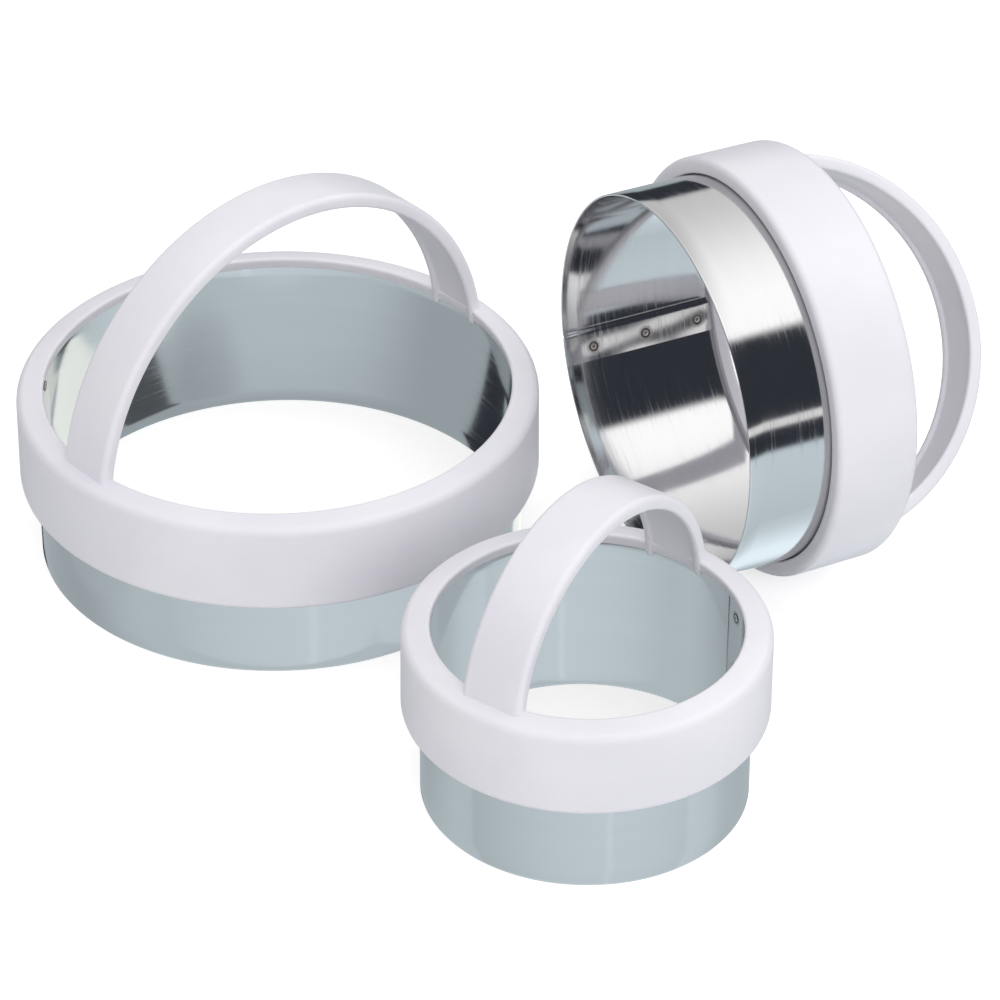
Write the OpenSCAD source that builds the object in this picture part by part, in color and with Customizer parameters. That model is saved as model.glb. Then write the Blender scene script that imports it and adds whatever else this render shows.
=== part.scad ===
// A graduated set of three plain round biscuit cutters.
// Each cutter is a rolled steel band with a lap joint, three spot welds through the lap,
// and a white moulded grip: a ring round the band's upper half and an arched handle over it.
// The large and small cutters stand on their cutting edges and the medium one lies on its ring.
// Millimetres, +Z up. The origin is the middle of the set's bounding box, on the table.

/* [Large cutter] */
// Outside diameter of the large steel band
large_d = 86; // [80:0.5:94]
// Height of the large cutting edge's bare steel, up to the skirt
large_skirt_z = 14.9; // [12:0.1:17]
// Height of the top of the large ring
large_rim_z = 32; // [30:0.1:38]
// How far the large handle's outer radius is beyond the band
large_arch_over = 0.6; // [0:0.1:1]
// How far the large handle's centre lies below the top of the ring
large_arch_drop = 6.7; // [4:0.1:9]
// Direction in which the large handle's far foot points
large_arch_turn = 42; // [0:1:90]
// Direction of the large band's lap joint
large_lap_turn = 172; // [110:1:190]

/* [Medium cutter] */
// Outside diameter of the medium steel band
medium_d = 69.2; // [64:0.5:76]
// Height of the medium cutting edge's bare steel, up to the skirt
medium_skirt_z = 15.5; // [12:0.1:17]
// Height of the top of the medium ring
medium_rim_z = 32; // [30:0.1:38]
// How far the medium handle's outer radius is beyond the band
medium_arch_over = -0.2; // [-0.4:0.1:1]
// How far the medium handle's centre lies below the top of the ring
medium_arch_drop = 3.6; // [3:0.1:9]
// Direction in which the medium handle's foot points, counted from the cutter's underside
medium_arch_turn = 147; // [110:1:170]
// Direction of the medium band's lap joint, counted from the cutter's underside
medium_lap_turn = 71.4; // [40:0.1:90]

/* [Small cutter] */
// Outside diameter of the small steel band
small_d = 54.7; // [50:0.1:60]
// Height of the small cutting edge's bare steel, up to the skirt
small_skirt_z = 16.5; // [12:0.1:18]
// Height of the top of the small ring
small_rim_z = 32.6; // [30:0.1:38]
// How far the small handle's outer radius is beyond the band
small_arch_over = 0.2; // [-0.4:0.1:1]
// How far the small handle's centre lies below the top of the ring
small_arch_drop = 4.4; // [3:0.1:9]
// Direction in which the small handle's far foot points
small_arch_turn = 54.6; // [40:0.1:90]
// Direction of the small band's lap joint
small_lap_turn = 21; // [0:1:25]

/* [Steel bands] */
// Thickness of the steel strip
sheet_t = 0.35; // [0.25:0.05:0.5]
// Length of the lap, where the strip's two ends overlap
lap_length = 5.2; // [4:0.1:6]
// Length of the joggle that steps the inner end under the outer one
joggle_length = 1.2; // [0.8:0.1:2]
// Diameter of a spot weld
weld_d = 1.8; // [1.2:0.1:2.4]
// Height of the lowest spot weld above the cutting edge
weld_first_z = 5.5; // [4:0.1:7]
// Distance from one spot weld to the next
weld_pitch = 10.6; // [8:0.1:11]
// How far a spot weld stands proud on the inside of the band
weld_proud = 0.06; // [0:0.01:0.1]
// How far a spot weld is dished on the outside of the band
weld_dish = 0.05; // [0.02:0.01:0.1]

/* [Grip rings] */
// How far the skirt reaches beyond the band
overhang = 3.1; // [2.8:0.1:4]
// Taper of the ring's outer wall, in degrees
wall_draft = 0.4; // [0:0.1:1]
// Gap between the band and the skirt's mouth
skirt_gap = 0.3; // [0.2:0.05:0.5]
// Depth of that gap
skirt_gap_depth = 4; // [2:0.5:8]
// Rounding of the skirt's lower outer edge
skirt_round = 1.2; // [0.8:0.1:1.5]
// Rounding of the skirt's lower inner edge
mouth_round = 0.6; // [0.4:0.1:0.8]
// Rounding of the ring's shoulder
shoulder_round = 1.6; // [1:0.1:2]
// How far the ring's shoulder lies below its crest
shoulder_drop = 0.9; // [0.4:0.1:1.5]
// Thickness of the ring over the band's upper edge
cover_t = 1.4; // [1.2:0.1:1.8]
// How far the ring's inner lip reaches in from the band's outside
lip_reach = 1.95; // [1.7:0.05:2.2]
// Height of the ring's inner lip
lip_h = 2.2; // [1.9:0.1:2.5]
// How far the lip's lower edge leans back
lip_set_back = 0.45; // [0.2:0.05:0.6]
// Rounding of the lip's upper edge
lip_round = 0.55; // [0.4:0.05:0.7]
// Rounding of the lip's lower edge
lip_edge_round = 0.2; // [0.1:0.05:0.3]
// Clearance round the lap where it passes behind the lip
notch_gap = 0.1; // [0.05:0.05:0.3]

/* [Handles] */
// Width of a handle
arch_w = 11; // [9:0.1:13]
// Depth of a handle's channel section
arch_depth = 2.5; // [2.2:0.1:3]
// Depth of the channel inside a handle
channel_depth = 0.7; // [0.4:0.1:1]
// Width of the two flanges beside the channel
flange_w = 1.3; // [1:0.1:1.6]
// Rounding of a handle's outer edges
arch_round = 1; // [0.6:0.1:1.2]
// Rounding of the flanges' edges
flange_round = 0.5; // [0.3:0.05:0.6]
// How far the flanges' rounded ends reach below the ring's lip
nub_drop = 0.3; // [0:0.1:0.6]
// Rounding of those ends
nub_round = 0.45; // [0.3:0.05:0.5]
// Clearance between the handle's feet and the steel
foot_gap = 0.1; // [0.05:0.05:0.2]
// How far the feet are set in from the handle's faces
foot_inset = 0.06; // [0.04:0.01:0.1]

/* [Layout] */
// Clear gap between the large and small rings
small_gap = 14.2; // [8:0.1:30]
// Bearing of the small cutter from the large one
small_bearing = -53.9; // [-60:0.1:-48]
// Clear gap between the large ring and the medium cutting edge
medium_gap = 7.2; // [5:0.1:30]
// Heading of the lying cutter, from its cutting edge towards its handle
medium_heading = 26.7; // [20:0.1:32]
// How far the lying cutter is shifted sideways, towards the front
medium_shift = 39.8; // [30:0.1:42]

/* [Hidden] */

// How far each cut runs past the solid that it cuts
overrun = 1;
// How many spot welds hold a lap
weld_count = 3;
// Facets of large circles and of small ones
$fn = 180;
fine_fn = 48;
// A fillet has one step for each such part of its radius
fillet_grain = 0.4;

grip_color = [0.92, 0.91, 0.94];
steel_color = [0.74, 0.77, 0.79];
weld_color = [0.5, 0.46, 0.42];

// One cutter's own values, in the order that the functions below read
large = [large_d / 2, large_skirt_z, large_rim_z,
    large_arch_over, large_arch_drop, large_arch_turn, large_lap_turn];
medium = [medium_d / 2, medium_skirt_z, medium_rim_z,
    medium_arch_over, medium_arch_drop, medium_arch_turn, medium_lap_turn];
small = [small_d / 2, small_skirt_z, small_rim_z,
    small_arch_over, small_arch_drop, small_arch_turn, small_lap_turn];

// The band
function band_r(c) = c[0];
function band_h(c) = rim_z(c) - cover_t;
function lap_turn(c) = c[6];
// Angle at the band's centre that a length along the band takes
function turn_of(c, length) = length / band_r(c) * 180 / PI;

// The ring
function skirt_z(c) = c[1];
function rim_z(c) = c[2];
function lip_z(c) = rim_z(c) - lip_h;
function ring_r(c) = band_r(c) + overhang;
// Outer radius of the tapered wall at a height
function wall_r(c, z) = ring_r(c) - (z - skirt_z(c)) * tan(wall_draft);
function shoulder_z(c) = rim_z(c) - shoulder_drop;

// The handle
function arch_r(c) = band_r(c) + c[3];
function arch_z(c) = rim_z(c) - c[4];
function arch_turn(c) = c[5];
// Height at which the handle's bar ends, inside the plastic over the band
function root_z(c) = band_h(c) + cover_t / 3;
// Half the span between the flanges at a height
function span_at(c, z) = sqrt(pow(arch_r(c) - arch_depth, 2) - pow(z - arch_z(c), 2));

// Layout: the large cutter's centre is the start, and the others are set out from it
small_place = (ring_r(large) + ring_r(small) + small_gap) * [cos(small_bearing), sin(small_bearing), 0];
// A lying cutter rests along its tapered wall, so it is tipped by the taper
lie = [0, 90 + wall_draft, medium_heading];
lie_z = ring_r(medium) * cos(wall_draft) + medium_skirt_z * sin(wall_draft);
ahead = [cos(medium_heading), sin(medium_heading), 0];
aside = [sin(medium_heading), -cos(medium_heading), 0];
medium_place = (ring_r(large) + medium_gap) * ahead + medium_shift * aside + [0, 0, lie_z];

// A direction of the medium cutter's own frame, as it lies
function laid(v) =
    let (x = v.x * cos(lie.y) + v.z * sin(lie.y), z = v.z * cos(lie.y) - v.x * sin(lie.y))
    [x * cos(lie.z) - v.y * sin(lie.z), x * sin(lie.z) + v.y * cos(lie.z), z];
medium_axis = laid([0, 0, 1]);
medium_foot = laid([cos(medium_arch_turn), sin(medium_arch_turn), 0]);
medium_side = laid([-sin(medium_arch_turn), cos(medium_arch_turn), 0]);

// How far the lying cutter reaches in a level direction: its ring's two corners, and its arch
function corner_reach(r, z, round, way) =
    (z * (medium_axis * way)) + (r - round) * norm_off(way) + round;
function norm_off(way) = sqrt(1 - pow(medium_axis * way, 2));
function ring_reach(way) =
    let (top = shoulder_z(medium))
    medium_place * way + max(
        corner_reach(ring_r(medium), skirt_z(medium) + skirt_round, skirt_round, way),
        corner_reach(wall_r(medium, top), top - shoulder_round, shoulder_round, way)
    );
function arch_reach(way) =
    arch_z(medium) * (medium_axis * way)
    + (arch_r(medium) - arch_round) * norm([medium_foot * way, medium_axis * way])
    + (arch_w / 2 - arch_round) * abs(medium_side * way) + arch_round;
function medium_reach(way) = max(ring_reach(way), medium_place * way + arch_reach(way));
function standing_reach(c, place, way) = place * way + ring_r(c);
right = [1, 0, 0];
back = [0, 1, 0];
// The handle's lower half is inside its ring, so only the ring reaches left and forward
x_max = max(medium_reach(right), ring_r(large), standing_reach(small, small_place, right));
x_min = -max(ring_reach(-right), ring_r(large), standing_reach(small, small_place, -right));
y_max = max(medium_reach(back), ring_r(large), standing_reach(small, small_place, back));
y_min = -max(ring_reach(-back), ring_r(large), standing_reach(small, small_place, -back));
middle = [(x_min + x_max) / 2, (y_min + y_max) / 2, 0];

// Points of a fillet at the corner b of an outline, between its neighbours a and c
function fillet(a, b, c) =
    let (
        steps = ceil(b[2] / fillet_grain),
        here = [b.x, b.y],
        back_way = ([a.x, a.y] - here) / norm([a.x, a.y] - here),
        on_way = ([c.x, c.y] - here) / norm([c.x, c.y] - here),
        half = acos(back_way * on_way) / 2,
        centre = here + (back_way + on_way) / norm(back_way + on_way) * b[2] / sin(half),
        start = here + back_way * b[2] / tan(half) - centre,
        side = here + on_way * b[2] / tan(half) - centre,
        sweep = 180 - 2 * half
    )
    [
        for (i = [0 : steps])
        centre + (start * sin(sweep * (1 - i / steps)) + side * sin(sweep * i / steps)) / sin(sweep)
    ];

// Outline round a list of corners [x, y, rounding]
module rounded_outline(corners) {
    count = len(corners);
    polygon([
        for (i = [0 : count - 1])
        let (a = corners[(i + count - 1) % count], b = corners[i], c = corners[(i + 1) % count])
        each b[2] > 0 ? fillet(a, b, c) : [[b.x, b.y]]
    ]);
}

// Part of a tube's wall, from one direction to another
module wall_part(inner, outer, from, to, low, high) {
    rotate([0, 0, from])
    rotate_extrude(angle = to - from)
    translate([inner, low])
    square([outer - inner, high - low]);
}

// One turn of steel strip, whose inner end is joggled under the outer one, with its lap at angle zero
module strip(c) {
    r = band_r(c);
    h = band_h(c);
    half = turn_of(c, lap_length) / 2;
    joggle = -half - turn_of(c, joggle_length);
    root = turn_of(c, sheet_t);
    difference() {
        cylinder(r = r, h = h);
        translate([0, 0, -overrun]) cylinder(r = r - sheet_t, h = h + 2 * overrun);
        wall_part(r - sheet_t - overrun, r + overrun, joggle + root, -half, -overrun, h + overrun);
    }
    // The lap's second layer, and the joggle, run into the steel that they meet
    wall_part(r - 2 * sheet_t, r - sheet_t / 2, root - half, half, 0, h);
    linear_extrude(height = h)
    polygon([
        (r - sheet_t / 4) * [cos(joggle), sin(joggle)],
        (r - sheet_t * 3 / 4) * [cos(joggle), sin(joggle)],
        (r - sheet_t * 7 / 4) * [cos(2 * root - half), sin(2 * root - half)],
        (r - sheet_t * 5 / 4) * [cos(2 * root - half), sin(2 * root - half)]
    ]);
}

// Places its children at each spot weld, with X pointing out of the band
module at_welds(c) {
    for (i = [0 : weld_count - 1]) {
        rotate([0, 0, lap_turn(c)])
        translate([0, 0, weld_first_z + i * weld_pitch])
        children();
    }
}

module weld_bar(from, to) {
    translate([from, 0, 0]) rotate([0, 90, 0]) cylinder(d = weld_d, h = to - from, $fn = fine_fn);
}

module band(c) {
    color(steel_color)
    difference() {
        // The strip is rolled clockwise, seen from the handle
        rotate([0, 0, lap_turn(c)]) mirror([0, 1, 0]) strip(c);
        at_welds(c) weld_bar(band_r(c) - 2 * sheet_t - overrun, band_r(c) + overrun);
    }
}

module welds(c) {
    color(weld_color)
    at_welds(c) weld_bar(band_r(c) - 2 * sheet_t - weld_proud, band_r(c) - weld_dish);
}

// The ring seen end on, with the groove that holds the band's upper edge
module ring_outline(c) {
    r = band_r(c);
    gap_z = skirt_z(c) + skirt_gap_depth;
    rounded_outline([
        [r + skirt_gap, skirt_z(c), mouth_round],
        [ring_r(c), skirt_z(c), skirt_round],
        [wall_r(c, shoulder_z(c)), shoulder_z(c), shoulder_round],
        [r - lip_reach, rim_z(c), lip_round],
        [r - lip_reach + lip_set_back, lip_z(c), lip_edge_round],
        [r - sheet_t, lip_z(c), 0],
        [r - sheet_t, band_h(c), 0],
        [r, band_h(c), 0],
        [r, gap_z, 0],
        [r + skirt_gap, gap_z, 0]
    ]);
}

module ring(c) {
    rotate_extrude() ring_outline(c);
}

// Room in the lip for the band's second layer at the lap
module lap_notch(c) {
    r = band_r(c);
    half = turn_of(c, lap_length / 2 + joggle_length);
    inner = r - 2 * sheet_t - notch_gap;
    low = lip_z(c) - overrun;
    wall_part(inner, r - sheet_t / 2, lap_turn(c) - half, lap_turn(c) + half, low, band_h(c));
}

// The handle's bar above the band, before its channel is cut
module arch_bar(c) {
    outer = arch_r(c);
    inner = arch_r(c) - arch_depth;
    edge = arch_w / 2;
    intersection() {
        translate([0, 0, arch_z(c)])
        rotate([90, 0, 0])
        rotate_extrude(angle = 180)
        rounded_outline([
            [inner, -edge, flange_round],
            [outer, -edge, arch_round],
            [outer, edge, arch_round],
            [inner, edge, flange_round]
        ]);
        translate([-outer - overrun, -edge - overrun, root_z(c)])
        cube([2 * (outer + overrun), 2 * (edge + overrun), outer]);
    }
}

// The handle's feet inside the lip, and the rounded ends of its flanges below them
module feet(c) {
    face = span_at(c, root_z(c)) + foot_inset;
    edge = arch_w / 2 - foot_inset;
    depth = sqrt(pow(band_r(c) - sheet_t - foot_gap, 2) - pow(edge, 2)) - face;
    middle_y = (arch_w - flange_w) / 2;
    for (turn = [0, 180]) {
        rotate([0, 0, turn]) {
            translate([face, -edge, lip_z(c) + foot_inset])
            cube([depth, 2 * edge, (cover_t + lip_h) / 2]);
            for (side = [-1, 1]) {
                translate([face + flange_w / 2, side * middle_y, lip_z(c)]) nub();
            }
        }
    }
}

module nub() {
    r = flange_w / 2 - foot_inset;
    low = -nub_drop - r;
    top = cover_t / 2;
    rotate_extrude($fn = fine_fn)
    rounded_outline([[0, low, 0], [r, low, nub_round], [r, top, 0], [0, top, 0]]);
}

module grip(c) {
    web_r = arch_r(c) - arch_depth + channel_depth;
    channel_w = arch_w - 2 * flange_w;
    color(grip_color)
    difference() {
        union() {
            ring(c);
            rotate([0, 0, arch_turn(c)]) {
                arch_bar(c);
                feet(c);
            }
        }
        rotate([0, 0, arch_turn(c)])
        translate([0, channel_w / 2, arch_z(c)])
        rotate([90, 0, 0])
        cylinder(r = web_r, h = channel_w);
        lap_notch(c);
    }
}

module stand_large() {
    translate(-middle) children();
}

module stand_small() {
    translate(small_place - middle) children();
}

module lay_medium() {
    translate(medium_place - middle) rotate(lie) children();
}

module large_grip() { stand_large() grip(large); }
module large_band() { stand_large() band(large); }
module large_welds() { stand_large() welds(large); }
module medium_grip() { lay_medium() grip(medium); }
module medium_band() { lay_medium() band(medium); }
module medium_welds() { lay_medium() welds(medium); }
module small_grip() { stand_small() grip(small); }
module small_band() { stand_small() band(small); }
module small_welds() { stand_small() welds(small); }

large_grip();
large_band();
large_welds();
medium_grip();
medium_band();
medium_welds();
small_grip();
small_band();
small_welds();
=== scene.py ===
# %% [markdown]
# # A graduated set of three plain round biscuit cutters
#
# Each cutter is a strip of bright stainless steel, rolled into a band whose ends lap and are spot welded,
# with a white grip moulded round its upper half. The grip is one moulding: a ring, and an arched handle
# of shallow channel section over it. The large and small cutters stand on their cutting edges, and the
# medium one lies on its ring with its cutting edge towards the large one.
#
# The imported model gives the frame: where each cutter is, and how big. This lesson builds the finished
# surfaces round it.

# %% The frame
import math

import bmesh
import bpy
from mathutils import Euler, Matrix, Vector


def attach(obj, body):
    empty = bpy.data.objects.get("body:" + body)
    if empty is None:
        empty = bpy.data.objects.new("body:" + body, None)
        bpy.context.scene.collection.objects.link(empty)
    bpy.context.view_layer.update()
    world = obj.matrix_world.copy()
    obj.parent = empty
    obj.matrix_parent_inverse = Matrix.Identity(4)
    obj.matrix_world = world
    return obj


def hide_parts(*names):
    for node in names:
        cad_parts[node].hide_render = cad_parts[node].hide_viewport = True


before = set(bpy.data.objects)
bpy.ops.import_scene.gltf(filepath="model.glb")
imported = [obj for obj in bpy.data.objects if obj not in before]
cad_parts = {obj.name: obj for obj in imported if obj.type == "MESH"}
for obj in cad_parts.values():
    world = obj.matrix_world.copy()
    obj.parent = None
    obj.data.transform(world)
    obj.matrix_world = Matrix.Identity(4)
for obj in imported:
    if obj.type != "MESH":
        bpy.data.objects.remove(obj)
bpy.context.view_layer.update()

MM = 0.001
bpy.ops.object.select_all(action="DESELECT")
print("nodes:", sorted(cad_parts))

# %% [markdown]
# ## Where the cutters are
#
# A cutter is easiest to model upright, with its cutting edge on the floor and its axis on Z, and to put
# in its place when it is finished. So each cutter needs one placement: its turn, which is a named value,
# and its centre, which is measured on the band's own vertices. Measuring keeps the looks on the frame
# even if the frame is packed again with other sizes.

# %% Placements
TAPER = 0.4
MEDIUM_HEADING = 26.7
LAID_DOWN = Euler((0, math.radians(90 + TAPER), math.radians(MEDIUM_HEADING)))
UPRIGHT = Euler((0, 0, 0))


class Cutter:
    """One cutter's name, placement and measured sizes, in metres."""

    def __init__(self, size, turn):
        self.size = size
        self.turn = turn
        self.body = size + "_cutter"
        rotation = turn.to_matrix()
        local = [rotation.transposed() @ v.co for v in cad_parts[size + "_band"].data.vertices]
        low = Vector([min(v[i] for v in local) for i in range(3)])
        high = Vector([max(v[i] for v in local) for i in range(3)])
        self.radius = max(high.x - low.x, high.y - low.y) / 2
        self.band_top = high.z - low.z
        grip = [rotation.transposed() @ v.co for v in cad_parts[size + "_grip"].data.vertices]
        ring_x = [v.x for v in grip]
        ring_y = [v.y for v in grip]
        centre = Vector(((min(ring_x) + max(ring_x)) / 2, (min(ring_y) + max(ring_y)) / 2, low.z))
        self.place = Matrix.Translation(rotation @ centre) @ rotation.to_4x4()
        self.skirt_bottom = min(v.z for v in grip) - low.z
        self.handle_top = max(v.z for v in grip) - low.z
        welds = [self.place.inverted() @ v.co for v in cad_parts[size + "_welds"].data.vertices]
        middle = sum(welds, Vector()) / len(welds)
        self.lap_turn = math.atan2(middle.y, middle.x)
        self.weld_bottom = min(v.z for v in welds)
        print(size, "radius %.2f, lap at %.1f degrees" % (self.radius / MM, math.degrees(self.lap_turn)))


large = Cutter("large", UPRIGHT)
medium = Cutter("medium", LAID_DOWN)
small = Cutter("small", UPRIGHT)
cutters = [large, medium, small]

# %% [markdown]
# ## The camera
#
# A photograph's viewpoint can be worked out from the circles in it, because every rim here is a true
# circle. That gave a long lens, about 800 mm away, looking down at 34 degrees. The camera is set out from
# the large cutter's centre on the table, so it follows the frame. A camera looks along its own -Z, with
# +Y up.

# %% Camera
CAMERA_OFFSET = Vector((39.2, -658.07, 454.72)) * MM
CAMERA_PITCH = math.radians(34.2543)
CAMERA_ROLL = math.radians(0.2887)
LENS = 159.915
SENSOR_WIDTH = 36
NEAREST = 0.01
FARTHEST = 20

camera = bpy.data.objects.new("camera", bpy.data.cameras.new("camera"))
bpy.context.scene.collection.objects.link(camera)
camera.data.sensor_width = SENSOR_WIDTH
camera.data.lens = LENS
camera.data.clip_start = NEAREST
camera.data.clip_end = FARTHEST
aim = Matrix.Rotation(math.radians(90) - CAMERA_PITCH, 4, "X") @ Matrix.Rotation(CAMERA_ROLL, 4, "Z")
camera.matrix_world = Matrix.Translation(large.place.translation + CAMERA_OFFSET) @ aim
bpy.context.scene.camera = camera
bpy.context.scene.view_settings.view_transform = "Standard"
print("camera at", [round(v / MM, 1) for v in camera.matrix_world.translation])

# %% [markdown]
# ## A small language for materials
#
# Node trees are easier to read as sums. A Wire is the output of a node, and Python's own signs add Math
# nodes to it, so `1 - mask` and `mask * 0.2 + 0.1` say what they do. Every other node comes from one
# method, `node`, which takes the node's type, its settings and what goes into its sockets.

# %% Wires
class Wire:
    """An output socket that takes part in sums."""

    def __init__(self, recipe, socket):
        self.recipe = recipe
        self.socket = socket

    def maths(self, operation, *values):
        return self.recipe.node("ShaderNodeMath", {"operation": operation}, dict(enumerate(values)))

    def __add__(self, other):
        return self.maths("ADD", self, other)

    def __sub__(self, other):
        return self.maths("SUBTRACT", self, other)

    def __rsub__(self, other):
        return self.maths("SUBTRACT", other, self)

    def __mul__(self, other):
        return self.maths("MULTIPLY", self, other)

    def __pow__(self, other):
        return self.maths("POWER", self, other)

    __radd__ = __add__
    __rmul__ = __mul__


# %% Recipes
class Recipe:
    """A node tree that is built from nothing."""

    def __init__(self, tree):
        self.tree = tree
        tree.nodes.clear()

    def node(self, kind, settings=None, sockets=None, output=0):
        made = self.tree.nodes.new(kind)
        for name, value in (settings or {}).items():
            setattr(made, name, value)
        for key, value in (sockets or {}).items():
            if isinstance(value, Wire):
                self.tree.links.new(value.socket, made.inputs[key])
            else:
                made.inputs[key].default_value = value
        return Wire(self, made.outputs[output] if made.outputs else None)

    def smooth(self, value, start, end):
        """0 before start, 1 after end, and an S between them."""
        settings = {"interpolation_type": "SMOOTHSTEP"}
        sockets = {"Value": value, "From Min": start, "From Max": end}
        return self.node("ShaderNodeMapRange", settings, sockets)

    def mix_colour(self, factor, a, b):
        """Colour a at 0 and colour b at 1. A Mix node's colours are its sockets 6 and 7."""
        settings = {"data_type": "RGBA"}
        return self.node("ShaderNodeMix", settings, {0: factor, 6: a, 7: b}, output=2)

    def between(self, value, start, risen, falling, end):
        """A band that rises softly, stays at 1 and falls softly."""
        return self.smooth(value, start, risen) * (1 - self.smooth(value, falling, end))

    def distance(self, place, other):
        sockets = {0: place, 1: other}
        return self.node("ShaderNodeVectorMath", {"operation": "DISTANCE"}, sockets, output="Value")

    def bump(self, height, strength, depth):
        """Small relief, its depth in metres."""
        return self.node("ShaderNodeBump", None, {"Strength": strength, "Distance": depth, "Height": height})

    def noise(self, vector, scale, detail=3, roughness=0.5):
        sockets = {"Vector": vector, "Scale": scale, "Detail": detail, "Roughness": roughness}
        return self.node("ShaderNodeTexNoise", None, sockets)

    def finish(self, shader, target="ShaderNodeOutputMaterial"):
        self.node(target, None, {"Surface": shader})


def new_material(name):
    material = bpy.data.materials.new(name)
    material.use_nodes = True
    return material, Recipe(material.node_tree)


def colour(red, green, blue):
    return (red, green, blue, 1)


# %% [markdown]
# ## Reading a place on a cutter
#
# The finish follows each cutter's own axis: the steel's grain runs round the band, and a weld's stain
# sits round its weld. Object coordinates are the model's own places, so a Mapping node set to Texture
# carries them back to the upright cutter, and the same recipe then serves all three.

# %% Own coordinates
def own_place(recipe, cutter):
    """The place on the upright cutter, in metres."""
    place = recipe.node("ShaderNodeTexCoord", output="Object")
    sockets = {"Vector": place, "Location": cutter.place.translation, "Rotation": cutter.turn}
    return recipe.node("ShaderNodeMapping", {"vector_type": "TEXTURE"}, sockets)


def part_of(recipe, place, letter):
    """A place's X, Y or Z alone."""
    return recipe.node("ShaderNodeSeparateXYZ", None, {"Vector": place}, output=letter)


def stretched(recipe, place, x, y, z):
    """The place with each of its axes multiplied, for a noise that is longer one way."""
    sockets = {0: place, 1: (x, y, z)}
    return recipe.node("ShaderNodeVectorMath", {"operation": "MULTIPLY"}, sockets)


# %% [markdown]
# ## White moulded plastic
#
# The grips are white polypropylene, or a plastic like it: smooth but not polished, so highlights are
# broad and soft, with a faint lilac tint in the white. A moulding is never quite even, so the colour
# drifts a little, and the surface carries a fine skin that a Bump node gives it. Light enters such a
# plastic a little way, which Subsurface Weight stands for.

# %% Plastic
PLASTIC = colour(0.84, 0.83, 0.88)
PLASTIC_SHADE = colour(0.80, 0.79, 0.85)
SKIN_GRAIN = 2200
SKIN_DEPTH = 0.02 * MM
SKIN_STRENGTH = 0.12
DRIFT_GRAIN = 45
DRIFT_RANGE = (0.35, 0.65)
HANDLING_GRAIN = 160
HANDLING_RANGE = (0.5, 0.75)
SATIN = 0.36
HANDLING_DULLS = 0.07
PLASTIC_IOR = 1.49
LIGHT_ENTERS = 0.12
LIGHT_REACH = 1.2 * MM
REACH_BY_COLOUR = (0.9, 0.8, 1.0)


def plastic(cutter):
    material, recipe = new_material("white_plastic_" + cutter.size)
    place = own_place(recipe, cutter)
    drift = recipe.smooth(recipe.noise(place, DRIFT_GRAIN, detail=4), *DRIFT_RANGE)
    skin = recipe.noise(place, SKIN_GRAIN, detail=2)
    handled = recipe.noise(place, HANDLING_GRAIN, detail=5, roughness=0.6)
    handling = recipe.smooth(handled, *HANDLING_RANGE)
    shader = recipe.node("ShaderNodeBsdfPrincipled", None, {
        "Base Color": recipe.mix_colour(drift, PLASTIC, PLASTIC_SHADE),
        "Roughness": SATIN + handling * HANDLING_DULLS,
        "IOR": PLASTIC_IOR,
        "Subsurface Weight": LIGHT_ENTERS,
        "Subsurface Radius": REACH_BY_COLOUR,
        "Subsurface Scale": LIGHT_REACH,
        "Normal": recipe.bump(skin, SKIN_STRENGTH, SKIN_DEPTH),
    })
    recipe.finish(shader)
    return material


print("skin grain %.2f mm, light enters %.1f mm" % (1 / SKIN_GRAIN / MM, LIGHT_REACH / MM))

# %% [markdown]
# ## Bright rolled steel
#
# The strip is cold rolled and bright, nearly a mirror. What tells it from chrome is a very fine grain
# along the roll, which runs round the band once it is bent, and small marks: specks, faint smudges and a
# brown tint beside each weld. Grain along a direction is a noise stretched along it: here the height is
# multiplied far more than the two level directions, so each streak is long round the band and thin up it.

# %% Spot weld places
WELD_COUNT = 3
WELD_PITCH = 10.6 * MM
WELD_D = 1.8 * MM
TINT_RADIUS = 1.9 * MM


def weld_height(cutter, index):
    return cutter.weld_bottom + WELD_D / 2 + index * WELD_PITCH


def near_welds(recipe, cutter, place):
    """1 at a spot weld, falling to 0 at the tint's radius."""
    out = Vector((math.cos(cutter.lap_turn), math.sin(cutter.lap_turn), 0))
    mask = None
    for i in range(WELD_COUNT):
        spot = out * cutter.radius + Vector((0, 0, weld_height(cutter, i)))
        near = 1 - recipe.smooth(recipe.distance(place, spot), TINT_RADIUS / 2, TINT_RADIUS)
        mask = near if mask is None else mask.maths("MAXIMUM", mask, near)
    return mask


for each in cutters:
    print(each.size, "welds at heights", [round(weld_height(each, i) / MM, 1) for i in range(WELD_COUNT)])

# %% Streaks
GRAIN_ROUND = 30
GRAIN_UP = 5200
BROAD_ROUND = 12
BROAD_UP = 260
SCRATCH_ROUND = 70
SCRATCH_UP = 3600


def streaks(recipe, place, round_the_band, up, detail):
    """Noise that runs long round the band and is thin up it."""
    return recipe.noise(stretched(recipe, place, round_the_band, round_the_band, up), 1, detail=detail)


print("streaks %.0f mm long and %.2f mm thin" % (1 / GRAIN_ROUND / MM, 1 / GRAIN_UP / MM))

# %% Steel
STEEL = colour(0.66, 0.662, 0.668)
STEEL_WORN = colour(0.74, 0.742, 0.745)
HEAT_TINT = colour(0.36, 0.30, 0.25)
GRAIN_DEPTH = 0.004 * MM
GRAIN_STRENGTH = 0.14
BROAD_RANGE = (0.4, 0.7)
BROAD_PALES = 0.12
SCRATCH_RANGE = (0.5, 0.7)
SMUDGE_GRAIN = 70
SMUDGE_RANGE = (0.5, 0.72)
SPECK_GRAIN = 1100
SPECK_RANGE = (0.77, 0.82)
WORN_EDGE = (0.15 * MM, 0.5 * MM)
TINT_DEPTH = 0.75
POLISH = 0.07
GRAIN_DULLS = 0.04
SCRATCH_DULLS = 0.075
SMUDGE_DULLS = 0.03
SPECK_DULLS = 0.1
TINT_DULLS = 0.1


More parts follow.
